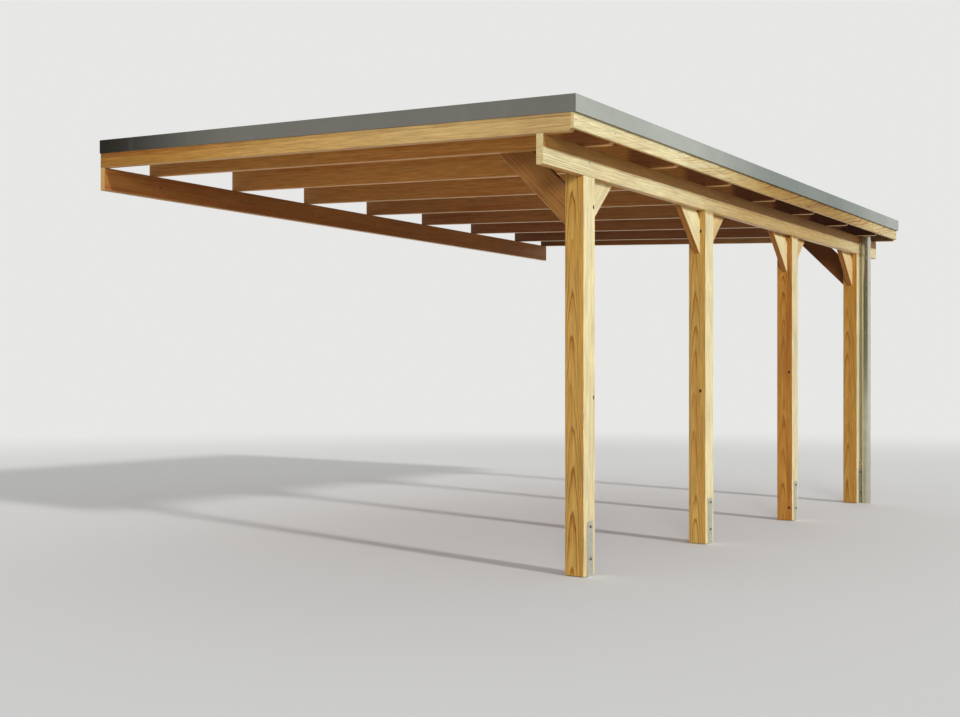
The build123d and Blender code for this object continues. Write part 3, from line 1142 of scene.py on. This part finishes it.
@dataclass(frozen=True)
class RoofSheet:
    """Matt dark roofing with fine granules and faint water marks.

    Attributes:
        colour: The granules' middle colour.
        spread: What it is multiplied by in the darkest and in the palest of them.
        silt: The colour of what water left behind.
        grit: The pattern of the granules.
        ponds: The pattern of standing water, along each axis.
        shares: How much of the tone comes from the granules and how much from the ponds.
        stops: Between which tones the granules go from dark to pale.
        silt_levels: Between which levels of the ponds' pattern silt lies.
        silt_share: How far it covers the granules.
        roughness: Its least, and what granules add to it.
        relief: The depth and the strength of the granules.
    """

    colour: Colour = (0.062, 0.064, 0.068)
    spread: Span = (0.72, 1.55)
    silt: Colour = (0.20, 0.19, 0.165)
    grit: Noise = Noise(420.0, 2.0, 0.6)
    ponds: Noise = Noise((0.9, 1.6, 1), 5.0, 0.6)
    shares: Span = (0.6, 0.4)
    stops: Span = (0.3, 0.7)
    silt_levels: Span = (0.56, 0.70)
    silt_share: float = 0.35
    roughness: Span = (0.78, 0.14)
    relief: Span = (mm(1.0), 0.5)

    def make(self, name: str) -> bpy.types.Material:
        """Make the material.

        Args:
            name: The material's name.

        Returns:
            The material.
        """
        tree = new_material(name)
        place = tree.place()
        grit, pond = self.grit.at(tree, place), self.ponds.at(tree, place)
        tones = [tuple(c * level for c in self.colour) for level in self.spread]
        granules = tree.ramp(grit * self.shares[0] + pond * self.shares[1],
                             list(zip(self.stops, tones)))
        silted = pond.step(*self.silt_levels) * self.silt_share
        return tree.principled(
            Base_Color=tree.blend(silted, granules, self.silt),
            Roughness=self.roughness[0] + grit * self.roughness[1],
            Normal=tree.relief(grit, *self.relief))


class Shape:
    """A mesh in the making, kept in a bmesh until it becomes a piece.

    Attributes:
        weld: Points nearer to each other than this become one.
    """

    weld: float = mm(0.01)

    def __init__(self) -> None:
        """Start with nothing."""
        self.mesh = bmesh.new()

    @staticmethod
    def facing(place: Vector, direction: Iterable[float]) -> Matrix:
        """The place of something whose own Z points in a direction."""
        turn = Vector(direction).normalized().to_track_quat("Z", "Y")
        return Matrix.Translation(place) @ turn.to_matrix().to_4x4()

    def disc(self, at: Matrix, radius: float, sides: int) -> list[bmesh.types.BMFace]:
        """A flat disc, whose face points along its own Z."""
        made = bmesh.ops.create_circle(self.mesh, cap_ends=True, segments=sides, radius=radius,
                                       matrix=at)
        return list(dict.fromkeys(f for v in made["verts"] for f in v.link_faces))

    def raise_face(self, faces: list, by: Vector) -> list[bmesh.types.BMFace]:
        """Extrude faces.

        Args:
            faces: The faces.
            by: How far and in which direction they go.

        Returns:
            The faces at the far end.
        """
        made = bmesh.ops.extrude_face_region(self.mesh, geom=faces)["geom"]
        verts = [g for g in made if isinstance(g, bmesh.types.BMVert)]
        bmesh.ops.translate(self.mesh, verts=verts, vec=by)
        return [g for g in made if isinstance(g, bmesh.types.BMFace)]

    def soften(self, edges: Iterable[bmesh.types.BMEdge], ease: float) -> None:
        """Round edges off by a length, if it is more than nothing."""
        if ease:
            bmesh.ops.bevel(self.mesh, geom=list(edges), offset=ease, segments=2, profile=0.5,
                            affect="EDGES", material=-1)

    def drum(self, at: Matrix, radius: float, height: float, sides: int, ease: float) -> None:
        """Add a closed prism or cylinder.

        Args:
            at: The place of its foot, whose own Z points up it.
            radius: Its radius.
            height: Its height.
            sides: How many sides it has.
            ease: How far the edge of its top is rounded off.
        """
        foot = self.disc(at, radius, sides)
        top = self.raise_face(foot, at.to_3x3() @ Vector((0, 0, height)))
        self.soften([e for f in top for e in f.edges], ease)

    def block(self, low: Vector, high: Vector, ease: float) -> None:
        """Add a closed block.

        Args:
            low: Its lowest corner.
            high: Its highest corner.
            ease: How far its edges are rounded off.
        """
        at = Matrix.Translation((low + high) / 2) @ Matrix.Diagonal((*(high - low), 1))
        made = bmesh.ops.create_cube(self.mesh, size=1.0, matrix=at)
        self.soften(dict.fromkeys(e for v in made["verts"] for e in v.link_edges), ease)

    def become(self, name: str, material: bpy.types.Material, slot: str,
               smooth: float = 35) -> bpy.types.Object:
        """Turn the mesh into a finished piece that rides on the carport.

        Args:
            name: The piece's name.
            material: Its finish.
            slot: The record's material slot that it belongs to; not used.
            smooth: Edges sharper than this, in degrees, stay crisp.

        Returns:
            The new object.
        """
        bmesh.ops.remove_doubles(self.mesh, verts=self.mesh.verts, dist=self.weld)
        bmesh.ops.recalc_face_normals(self.mesh, faces=self.mesh.faces)
        data = bpy.data.meshes.new(name)
        self.mesh.to_mesh(data)
        self.mesh.free()
        data.materials.append(material)
        data.shade_smooth()
        data.set_sharp_from_angle(angle=math.radians(smooth))
        piece = bpy.data.objects.new(name, data)
        bpy.context.scene.collection.objects.link(piece)
        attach(piece, "root")
        log.info("%s: %d faces", name, len(data.polygons))
        return piece


def dress(node: str, material: bpy.types.Material) -> None:
    """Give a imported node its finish.

    Args:
        node: The node.
        material: The finish.
    """
    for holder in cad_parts[node].material_slots:
        holder.material = material
    log.info("%s is dressed in %s", node, material.name)


def middle_of(node: str) -> Vector:
    """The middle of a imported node."""
    low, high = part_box(node)
    return (low + high) / 2


def nodes_like(start: str) -> list[str]:
    """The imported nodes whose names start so, in order."""
    return sorted(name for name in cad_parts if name.startswith(start))


@dataclass
class TimberFrame:
    """Every timber of the carport, each with its own run of grain.

    Attributes:
        wood: The finish that all of them have.
        plank_heart: How far off the heart of a plank's tree lies, through it and across its face.
        flat_heart: The same for the fascia, cut flat, whose rings show as flames.
        plank_luck: What that is multiplied by from plank to plank.
        tone_reach: How much paler or redder a plank may be than the next.
        tree_length: From how long a tree all timbers are cut.
        planks: What sets single planks apart.
        under_roof: What the rafters, which the sun never reaches, are multiplied by, as painted
            light under the roof.
        rafter_fade: How much darker each rafter is painted, towards the rear, as shade.
        fade_powers: How strongly that fade takes hold of red, green and blue.
        rafter_ledger_shade: How far shade is painted on the rafters next to the ledger.
        post_heart: Where the heart of a post's tree lies from the post's middle.
        post_luck: What each of the two is multiplied by from post to post.
        post_figure: How strongly the growth rings show in the posts.
        post_knots: The knots of each post.
        post_tones: How pale each post is.
        post_tints: What the colour of each post is multiplied by.
        post_seed: Where the posts' random draws start.
        count: How many planks are dressed.
    """

    wood: GlazedSoftwood = GlazedSoftwood()
    plank_heart: Span = (mm(35), mm(150))
    flat_heart: Span = (mm(80), mm(30))
    plank_luck: Span = (0.8, 1.2)
    tone_reach: float = 0.6
    tree_length: float = 40
    # The cross braces' tints and the knee braces' lower bleach shares are painted shade.
    planks: dict[str, dict[str, object]] = field(default_factory=lambda: {
        "wall_ledger": dict(tint=(1.04, 0.87, 0.92), exposed=1.0, shade=0.0, ledger_shaded=0.0),
        "outer_purlin": dict(growth=FAST_GROWN, figure=0.9, exposed=1.9, shade=0.6),
        "outer_fascia": dict(growth=FLAT_CUT, figure=1.9, exposed=1.6, plain_front=0.78),
        "front_verge_rafter": dict(
            growth=FAST_GROWN, figure=0.6, tint=(1.04, 1.02, 0.86), exposed=0.85),
        "rear_verge_rafter": dict(figure=0.6, tint=(0.66, 0.52, 0.62), exposed=0.5),
        "cross_brace_1": dict(growth=FAST_GROWN, figure=1.2, tint=(0.70, 0.57, 0.62)),
        "cross_brace_4": dict(growth=FAST_GROWN, figure=0.7, tint=(0.32, 0.20, 0.18)),
        "knee_brace_2_rear": dict(sun_and_bleach_share=0.40),
        "knee_brace_3_rear": dict(sun_and_bleach_share=0.35),
        "knee_brace_4_front": dict(sun_and_bleach_share=0.60),
    })
    under_roof: Colour = (1.46, 1.36, 1.60)
    rafter_fade: tuple[float, ...] = (1.0, 0.97, 0.88, 0.70, 0.58, 0.47, 0.38)
    fade_powers: Triple = (1.0, 1.15, 0.7)
    rafter_ledger_shade: float = 0.45
    post_heart: Span = (mm(72), mm(20))
    post_luck: tuple[Span, Span] = ((0.9, 1.2), (0.6, 1.2))
    post_figure: float = 0.85
    post_knots: tuple[Knots, ...] = (
        Knots(mm(44.5), -0.428, 1.036, outer=True), Knots(mm(-22), -0.402, 1.036),
        Knots(mm(-34), -1.306, 1.027), Knots())
    post_tones: tuple[float, ...] = (0.7, 0.1, -1.0, -0.5)
    post_tints: tuple[Colour, ...] = (
        (0.92, 0.94, 0.88), (0.97, 1.04, 1.05), (0.91, 0.76, 0.58), (0.91, 0.88, 0.74))
    post_seed: int = 50
    count: int = 0

    def plank(self, node: str, grain: Grain) -> None:
        """Dress one plank.

        Args:
            node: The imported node.
            grain: Which way its grain runs.
        """
        self.count += 1
        draw = random.Random(self.count)
        side = draw.choice((-1, 1))
        own = dict(self.planks.get(node, {}))
        if node.startswith("rafter_"):
            fade = self.rafter_fade[int(node[-1]) - 1]
            own["tint"] = tuple(c * fade ** p for c, p in zip(self.under_roof, self.fade_powers))
            own["ledger_shaded"] = self.rafter_ledger_shade
        through, across = self.flat_heart if node == "outer_fascia" else self.plank_heart
        stick = Stick(
            grain, middle_of(node),
            heart=(side * through * draw.uniform(*self.plank_luck),
                   draw.choice((-1, 1)) * across * draw.uniform(*self.plank_luck)),
            slide=draw.uniform(0, self.tree_length),
            tone=draw.uniform(-self.tone_reach, self.tone_reach), **own)
        dress(node, self.wood.make(f"glazed_softwood_{node}", stick))

    def post(self, number: int, node: str) -> None:
        """Dress one post, whose rings arch up its front face.

        Args:
            number: Its place in the row, from 0.
            node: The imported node.
        """
        draw = random.Random(self.post_seed + number)
        centre = middle_of(node)
        row = self.post_knots[number]
        stick = Stick(
            Grain.UPRIGHT, centre,
            heart=tuple(part * draw.uniform(*luck)
                        for part, luck in zip(self.post_heart, self.post_luck)),
            slide=draw.uniform(0, self.tree_length),
            knots=replace(row, first=row.first - centre.z), growth=SLOW_GROWN,
            figure=self.post_figure, tone=self.post_tones[number], tint=self.post_tints[number])
        dress(node, self.wood.make(f"glazed_softwood_{node}", stick))

    def build(self) -> None:
        """Dress all timbers."""
        for node in ("wall_ledger", "outer_purlin", "outer_fascia", "outer_edge_kerb"):
            self.plank(node, Grain.ALONG_ROOF)
        rafters = nodes_like("rafter_") + VERGE_RAFTERS
        for node in rafters + ["front_edge_kerb", "rear_edge_kerb"]:
            self.plank(node, Grain.DOWN_SLOPE)
        for node in nodes_like("cross_brace_"):
            self.plank(node, Grain.LEANING_INWARD)
        for node in nodes_like("knee_brace_"):
            back = node.endswith("rear")
            self.plank(node, Grain.LEANING_BACK if back else Grain.LEANING_FORWARD)
        for number, node in enumerate(POSTS):
            self.post(number, node)


@dataclass
class RoofCovering:
    """Deck, roof sheet with its laps, metal edge and flashing.

    Attributes:
        edge: The finish of the metal edge, the flashing and the outlet.
        sheet: The finish of the roof sheet.
        boards: The finish of the deck.
        metal_nodes: The nodes that have the first of those.
        roll_width: How wide a roll of roof sheet is.
        lap_width: How far the next one laps over it.
        lap_height: How high the lap stands.
        lap_ease: How far its edges are rounded off.
        lap_gap: How far it stays clear of the metal at its ends.
    """

    edge: CoatedSheet = CoatedSheet()
    sheet: RoofSheet = RoofSheet()
    boards: TonguedBoards = TonguedBoards()
    metal_nodes: tuple[str, ...] = ("front_edge_trim", "outer_edge_trim", "rear_edge_trim",
                                    "wall_flashing", "roof_outlet")
    roll_width: float = 1.0
    lap_width: float = mm(80)
    lap_height: float = mm(2)
    lap_ease: float = mm(0.6)
    lap_gap: float = mm(2)

    def laps(self, material: bpy.types.Material) -> None:
        """Add the welded laps between the rolls of roof sheet, from the flashing to the kerb.

        Args:
            material: Their finish.
        """
        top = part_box("roof_membrane")[1].z
        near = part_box("wall_flashing")[1].x + self.lap_gap
        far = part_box("outer_edge_trim")[0].x - self.lap_gap
        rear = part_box("rear_edge_trim")[0].y
        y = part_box("front_edge_trim")[1].y + self.roll_width
        shape = Shape()
        while y < rear - self.lap_width:
            corner = Vector((far, y + self.lap_width, self.lap_height))
            shape.block(Vector((near, y, 0)), corner, self.lap_ease)
            y += self.roll_width - self.lap_width
        for vert in shape.mesh.verts:
            vert.co.z += top - vert.co.x * math.tan(ROOF_FALL)
        shape.become("roof_sheet_laps", material, "membrane")

    def build(self) -> None:
        """Dress the roof."""
        dress("roof_deck", self.boards.make("tongued_boards"))
        sheet = self.sheet.make("roof_sheet")
        dress("roof_membrane", sheet)
        metal = self.edge.make("edge_metal")
        for node in self.metal_nodes:
            dress(node, metal)
        self.laps(sheet)


@dataclass
class Rainwater:
    """The pipe and its clips.

    Attributes:
        nodes: The nodes that it consists of.
    """

    nodes: tuple[str, ...] = ("downpipe", "pipe_clip_lower", "pipe_clip_upper")

    def build(self) -> None:
        """Dress the rainwater pipe."""
        centre = middle_of("downpipe")
        metal = DrawnPipe(centre=(centre.x, centre.y)).make("pipe_metal")
        for node in self.nodes:
            dress(node, metal)


@dataclass(frozen=True)
class Fixing:
    """A bolt or screw head.

    Attributes:
        radius: Its radius.
        height: Its height.
        sides: How many sides it has.
        ease: How far the edge of its top is rounded off.
        washer: The radius of its washer, if it has one.
        washer_height: The washer's height.
        washer_sides: How many sides that has.
        washer_ease: How far its edge is rounded off.
    """

    radius: float
    height: float
    sides: int = 24
    ease: float = mm(0.8)
    washer: float = 0.0
    washer_height: float = mm(2)
    washer_sides: int = 32
    washer_ease: float = mm(0.5)

    def drive(self, shape: Shape, place: Vector, out: Vector) -> None:
        """Add the head to a shape, seated on a face.

        Args:
            shape: The shape that it is added to.
            place: Its middle on the face.
            out: The direction that the face looks in.
        """
        if self.washer:
            shape.drum(Shape.facing(place, out), self.washer, self.washer_height,
                       self.washer_sides, self.washer_ease)
            place = place + out * self.washer_height
        shape.drum(Shape.facing(place, out), self.radius, self.height, self.sides, self.ease)


@dataclass
class Ironwork:
    """Post anchors and every bolt and screw.

    Attributes:
        steel: The finish of the anchors.
        brown: The finish of the ledger bolts, whose heads are darkened to the ledger's look in
            shade, as painted shade.
        dull: The finish of all other fixings.
        wall_bolt: The bolts that hold the ledger.
        wall_bolt_setback: How far behind its rafter each stands.
        purlin_bolt: The bolts that hold the purlin.
        purlin_nut: The nuts on them.
        purlin_screw: The screws beside them.
        purlin_screw_spread: How far to either side those stand.
        purlin_screw_rise: How far above the purlin's lower edge.
        board_screw: The screws that hold the fascia.
        board_screw_rise: How far above the fascia's lower edge those stand.
    """

    steel: GalvanisedSteel = GalvanisedSteel()
    # Dark heads, darkened to match the shaded ledger: painted shade.
    brown: GalvanisedSteel = GalvanisedSteel(head=(0.13, 0.060, 0.026))
    dull: GalvanisedSteel = GalvanisedSteel(head=(0.20, 0.165, 0.11))
    wall_bolt: Fixing = Fixing(mm(11), mm(3.5), ease=mm(2.5))
    wall_bolt_setback: float = mm(20)
    purlin_bolt: Fixing = Fixing(mm(8), mm(3), ease=mm(2.4))
    purlin_nut: Fixing = Fixing(mm(9.8), mm(8), sides=6, washer=mm(15))
    purlin_screw: Fixing = Fixing(mm(4), mm(0.8), ease=mm(0.4))
    purlin_screw_spread: float = mm(31)
    purlin_screw_rise: float = mm(28)
    board_screw: Fixing = Fixing(mm(4.5), mm(0.8), ease=mm(0.4))
    board_screw_rise: float = mm(46)

    def wall_bolts(self) -> Shape:
        """The bolts that hold the ledger, one behind each rafter.

        Returns:
            Their shape.
        """
        shape = Shape()
        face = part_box("wall_ledger")[1].x
        for node in nodes_like("rafter_"):
            place = Vector((face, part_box(node)[1].y + self.wall_bolt_setback, 0))
            self.wall_bolt.drive(shape, place, OUT)
        return shape

    def purlin_bolts(self) -> Shape:
        """A bolt through the purlin and the head of each post, and two screws below it.

        Returns:
            Their shape.
        """
        shape = Shape()
        low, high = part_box("outer_purlin")
        for node in POSTS:
            back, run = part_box(node)[0].x, middle_of(node).y
            height = (low.z + high.z) / 2
            self.purlin_bolt.drive(shape, Vector((high.x, run, height)), OUT)
            self.purlin_nut.drive(shape, Vector((back, run, height)), -OUT)
            for side in (-1, 1):
                place = Vector((high.x, run + side * self.purlin_screw_spread,
                                low.z + self.purlin_screw_rise))
                self.purlin_screw.drive(shape, place, OUT)
        return shape

    def fascia_screws(self) -> Shape:
        """One screw through the fascia into the end of each rafter.

        Returns:
            Their shape.
        """
        shape = Shape()
        low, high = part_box("outer_fascia")
        for node in nodes_like("rafter_") + VERGE_RAFTERS:
            place = Vector((high.x, middle_of(node).y, low.z + self.board_screw_rise))
            self.board_screw.drive(shape, place, OUT)
        return shape

    def build(self) -> None:
        """Dress the anchors and add the fixings."""
        steel = self.steel.make("galvanised_steel")
        for node in nodes_like("post_anchor_"):
            dress(node, steel)
        brown = self.brown.make("shade_darkened_zinc")
        dull = self.dull.make("weathered_zinc")
        self.wall_bolts().become("wall_bolts", brown, "galvanised_steel")
        self.purlin_bolts().become("purlin_bolts", dull, "galvanised_steel")
        self.fascia_screws().become("fascia_screws", dull, "galvanised_steel")


@dataclass(frozen=True)
class Lamp:
    """A distant lamp.

    Attributes:
        name: Its name.
        towards: The direction in which it stands.
        strength: How strong it is.
        spread: How wide it looks, in degrees.
        mirrored: Whether bright metal shows it.
    """

    name: str
    towards: Triple
    strength: float
    spread: float
    mirrored: bool = True

    def hang(self) -> None:
        """Add it to the scene."""
        light = bpy.data.lights.new(self.name, "SUN")
        light.energy = self.strength
        light.angle = math.radians(self.spread)
        lamp = bpy.data.objects.new(self.name, light)
        lamp.rotation_euler = Vector(self.towards).to_track_quat("Z", "Y").to_euler()
        lamp.visible_glossy = self.mirrored
        bpy.context.scene.collection.objects.link(lamp)


@dataclass
class Studio:
    """Plain pale floor, soft light and the camera at the photograph's viewing angle.

    Attributes:
        backdrop: The colour of floor and backdrop, as seen.
        bounce: The colour of the light that the floor throws back up.
        lamps: The lamps.
        ambient: How strong the sky's light is.
        dim_room: What metal mirrors beside the card.
        card_turn: In which direction the card stands.
        card_width: How far to either side of that it reaches.
        card_core: Which share of that is whole.
        floor_centre: The middle of the floor.
        floor_reach: How far it goes.
        floor_fade: Between which distances from its middle it fades into the backdrop.
        camera_place: Where the camera stands.
        camera_turn: How far it is turned, from looking along the roof towards the ledger.
        sensor_width: The width of its sensor, in millimetres.
        farthest: How far it sees.
        focal_pixels: Its focal length, in the photograph's pixels.
        horizon_pixel: How far down the photograph the horizon lies.
        frame_width: The photograph's width.
        frame_height: The photograph's height.
    """

    backdrop: Colour = (0.80, 0.80, 0.79)
    bounce: Colour = (0.82, 0.73, 0.60)
    lamps: tuple[Lamp, ...] = (
        Lamp("key", (3.74, -0.70, 1.66), 1.75, 4),
        Lamp("front_key", (0.50, -0.82, 0.135), 1.58, 15, mirrored=False),
        Lamp("back", (-0.40, 0.75, 0.55), 0.50, 60, mirrored=False))
    ambient: float = 0.42
    dim_room: Colour = (0.052, 0.050, 0.024)
    card_turn: float = math.radians(35)
    card_width: float = math.radians(80)
    card_core: float = 0.6
    floor_centre: Span = (2.0, 0.0)
    floor_reach: float = 80.0
    floor_fade: Span = (7.0, 17.0)
    camera_place: Triple = (6.711, -7.936, -1.377)
    camera_turn: float = math.radians(34.96)
    sensor_width: float = 36.0
    farthest: float = 300.0
    focal_pixels: float = 1177.8
    horizon_pixel: float = 381.5
    frame_width: int = 960
    frame_height: int = 717

    def build(self, ground: float) -> None:
        """Set the floor, the light and the camera.

        Args:
            ground: The height that the posts stand on.
        """
        self.floor(ground)
        self.world()
        for lamp in self.lamps:
            lamp.hang()
        self.camera()
        bpy.context.scene.view_settings.view_transform = "Standard"

    def floor(self, ground: float) -> None:
        """Lay a wide pale floor that fades into the backdrop.

        Args:
            ground: Its height.
        """
        shape = bmesh.new()
        at = Matrix.Translation((*self.floor_centre, ground))
        bmesh.ops.create_grid(shape, x_segments=1, y_segments=1, size=self.floor_reach, matrix=at)
        data = bpy.data.meshes.new("floor")
        shape.to_mesh(data)
        shape.free()
        data.materials.append(self.floor_material())
        floor = bpy.data.objects.new("floor", data)
        bpy.context.scene.collection.objects.link(floor)

    def floor_material(self) -> bpy.types.Material:
        """Pale as seen, and duller for the light that it throws back up.

        Returns:
            The material.
        """
        tree = new_material("pale_floor")
        x, y, _ = tree.parts(tree.place())
        far = (x - self.floor_centre[0]).distance(y - self.floor_centre[1])
        seen = tree.light_seen()
        dull = tree.node("ShaderNodeBsdfDiffuse", {}, {"Color": self.bounce})
        pale = tree.node("ShaderNodeBsdfDiffuse", {}, {"Color": self.backdrop})
        glow = tree.node("ShaderNodeEmission", {}, {"Color": self.backdrop})
        near = tree.node("ShaderNodeMixShader", {},
                         {0: seen, 1: dull.outputs[0], 2: pale.outputs[0]})
        whole = tree.node("ShaderNodeMixShader", {}, {
            0: far.step(*self.floor_fade) * seen, 1: near.outputs[0], 2: glow.outputs[0]})
        tree.node("ShaderNodeOutputMaterial", {}, {"Surface": whole.outputs[0]})
        return tree.owner

    def world(self) -> None:
        """A soft sky that shows as the pale backdrop, and to metal as a pale card in a dim room."""
        world = bpy.data.worlds.new("studio")
        bpy.context.scene.world = world
        tree = ShaderTree(world)
        x, y, _ = tree.parts(tree.node("ShaderNodeTexCoord").outputs["Generated"])
        off = (y.turn(x) - self.card_turn).size()
        card = off.step(self.card_width, self.card_width * self.card_core)
        mirrored = tree.blend(card, self.dim_room, self.backdrop)
        camera = tree.node("ShaderNodeLightPath").outputs["Is Camera Ray"]
        shown = tree.blend(camera, mirrored, self.backdrop)
        soft = tree.node("ShaderNodeBackground", {}, {"Color": WHITE, "Strength": self.ambient})
        backdrop = tree.node("ShaderNodeBackground", {}, {"Color": shown})
        mix = tree.node("ShaderNodeMixShader", {},
                        {0: tree.light_seen(), 1: soft.outputs[0], 2: backdrop.outputs[0]})
        tree.node("ShaderNodeOutputWorld", {}, {"Surface": mix.outputs[0]})

    def camera(self) -> None:
        """Place the camera as the photograph was taken: level, with the lens shifted."""
        data = bpy.data.cameras.new("camera")
        data.sensor_width = self.sensor_width
        data.lens = data.sensor_width * self.focal_pixels / self.frame_width
        data.shift_y = (self.horizon_pixel - self.frame_height / 2) / self.frame_width
        data.clip_end = self.farthest
        camera = bpy.data.objects.new("camera", data)
        camera.location = self.camera_place
        camera.rotation_euler = (math.pi / 2, 0, self.camera_turn)
        bpy.context.scene.collection.objects.link(camera)
        bpy.context.scene.camera = camera


def main() -> None:
    """Build the whole visual model and its studio."""
    logging.basicConfig(level=logging.INFO, format="%(name)s: %(message)s")
    TimberFrame().build()
    RoofCovering().build()
    Rainwater().build()
    Ironwork().build()
    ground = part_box("post_anchor_1")[0].z
    Studio().build(ground)


if __name__ == "__main__":
    main()
